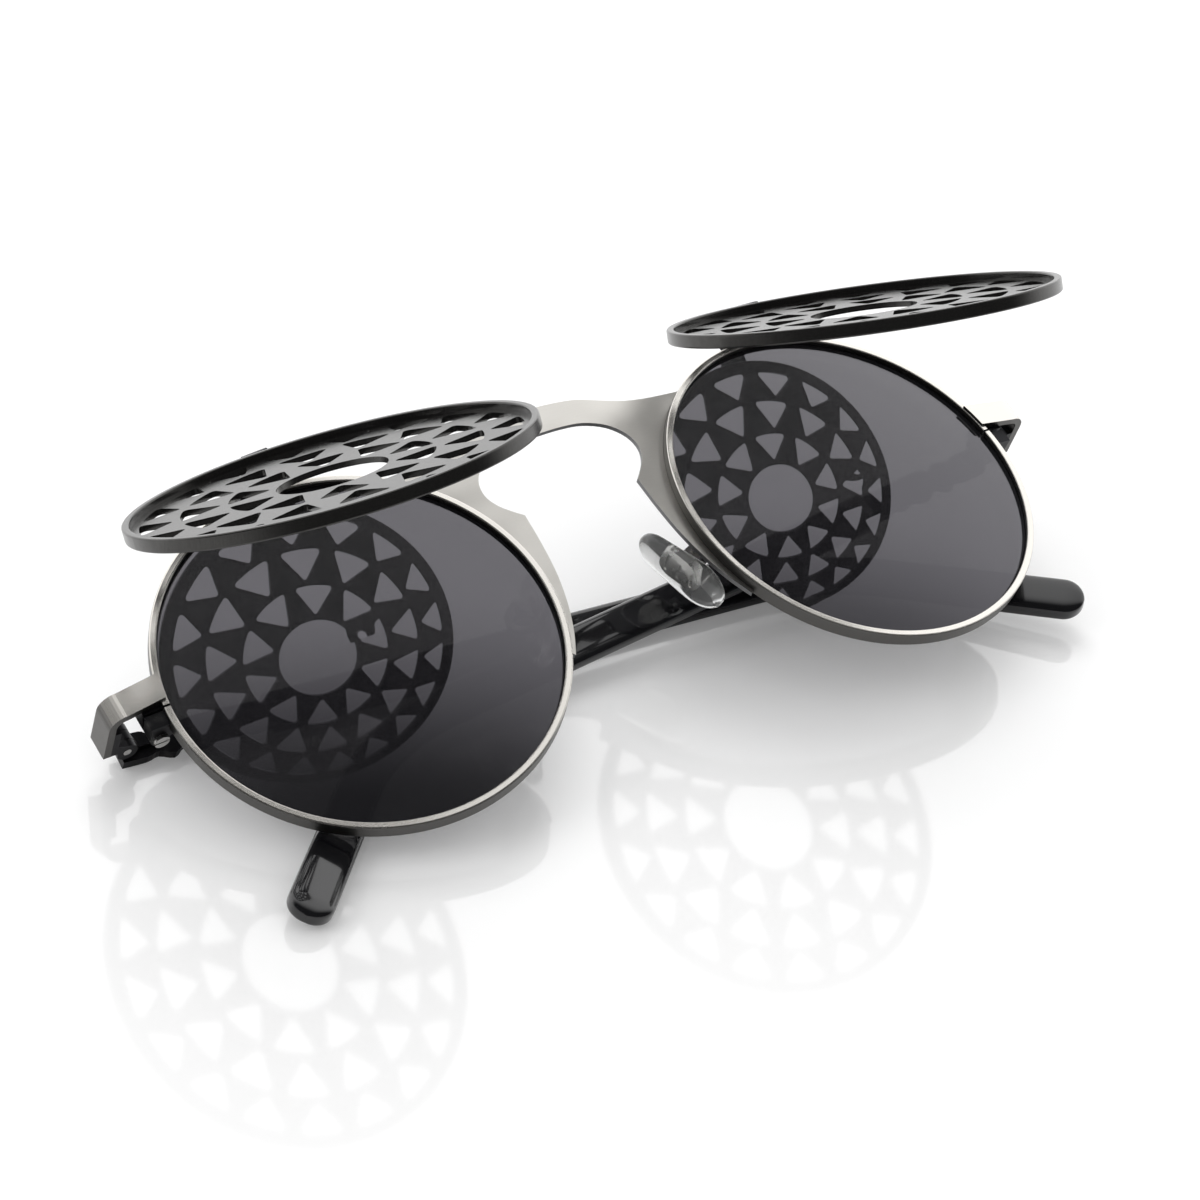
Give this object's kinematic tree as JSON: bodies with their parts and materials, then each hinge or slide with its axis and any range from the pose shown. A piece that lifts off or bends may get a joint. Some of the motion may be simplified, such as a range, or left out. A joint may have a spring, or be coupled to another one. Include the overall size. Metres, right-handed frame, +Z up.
{
  "type": "flip up sunglasses",
  "caption": "Round-lens sunglasses with a pierced metal disc hinged over each lens, flipped half up, and both temples folded behind.",
  "frame": {"origin": "on the table under the middle of the bounding box, with the glasses lying back on their folded temples", "axes": "+X to the right of someone looking at the front, along the width of the glasses; +Y from the front back past the lower edge of the lenses; +Z up from the table, the way the lenses face"},
  "size_m": [0.1314, 0.0542, 0.0531],
  "materials": {
    "bridge_steel": "fine brushed, warm grey",
    "rim_steel": "satin, dark grey edges and bright front",
    "disc_gunmetal": "brushed gunmetal, satin lacquer",
    "black_metal": "satin black",
    "screw_steel": "turned, bright",
    "smoke_lens": "dark smoke with a half mirror",
    "black_gloss": "high gloss",
    "clear_pad": "clear soft silicone"
  },
  "bodies": {
    "front": {"bridge_plate": "bridge_steel", "rim_left": "rim_steel", "rim_right": "rim_steel", "lens_left": "smoke_lens", "lens_right": "smoke_lens", "endpiece_left": "rim_steel", "endpiece_right": "rim_steel", "rim_lock_left": "black_metal", "rim_lock_right": "black_metal", "rim_lock_screw_left": "screw_steel", "rim_lock_screw_right": "screw_steel", "hinge_leaf_left": "black_metal", "hinge_leaf_right": "black_metal", "hinge_screw_left": "screw_steel", "hinge_screw_right": "screw_steel", "flip_hinge_base_left": "black_metal", "flip_hinge_base_right": "black_metal", "flip_hinge_pin_left": "screw_steel", "flip_hinge_pin_right": "screw_steel", "pad_arm_left": "bridge_steel", "pad_arm_right": "bridge_steel", "pad_screw_left": "screw_steel", "pad_screw_right": "screw_steel"},
    "temple_left": {"temple_bar_left": "black_metal", "temple_knuckle_left": "black_metal", "temple_sleeve_left": "black_gloss"},
    "temple_right": {"temple_bar_right": "black_metal", "temple_knuckle_right": "black_metal", "temple_sleeve_right": "black_gloss"},
    "disc_left": {"flip_arm_left": "black_metal", "disc_band_left": "disc_gunmetal", "disc_grille_left": "disc_gunmetal"},
    "disc_right": {"flip_arm_right": "black_metal", "disc_band_right": "disc_gunmetal", "disc_grille_right": "disc_gunmetal"},
    "pad_left": {"pad_insert_left": "screw_steel", "nose_pad_left": "clear_pad"},
    "pad_right": {"pad_insert_right": "screw_steel", "nose_pad_right": "clear_pad"}
  },
  "joints": [
    {"name": "temple_hinge_left", "type": "hinge", "parent": "front", "child": "temple_left", "pos_m": [-0.06226, 0.00776, 0.00382], "axis": [-0.016, 0.9549, 0.2965], "range_deg": [0, 87.7]},
    {"name": "flip_hinge_left", "type": "hinge", "parent": "front", "child": "disc_left", "pos_m": [-0.03578, 0.02572, 0.02143], "axis": [0.983, -0.0393, 0.1796], "range_deg": [-43.1, 46.9]},
    {"name": "pad_pivot_left", "type": "hinge", "parent": "front", "child": "pad_left", "pos_m": [-0.01283, 0.00212, 0.01023], "axis": [0.1229, -0.2924, 0.9484], "range_deg": [-6, 6]},
    {"name": "temple_hinge_right", "type": "hinge", "parent": "front", "child": "temple_right", "pos_m": [0.06256, 0.00776, 0.01056], "axis": [-0.016, 0.9549, 0.2965], "range_deg": [-90.8, 0]},
    {"name": "flip_hinge_right", "type": "hinge", "parent": "front", "child": "disc_right", "pos_m": [0.03433, 0.02572, 0.02522], "axis": [0.9999, 0.0135, 0.0107], "range_deg": [-42.9, 47.1]},
    {"name": "pad_pivot_right", "type": "hinge", "parent": "front", "child": "pad_right", "pos_m": [0.01273, 0.00212, 0.01161], "axis": [0.2245, 0.2924, -0.9296], "range_deg": [-6, 6]}
  ]
}
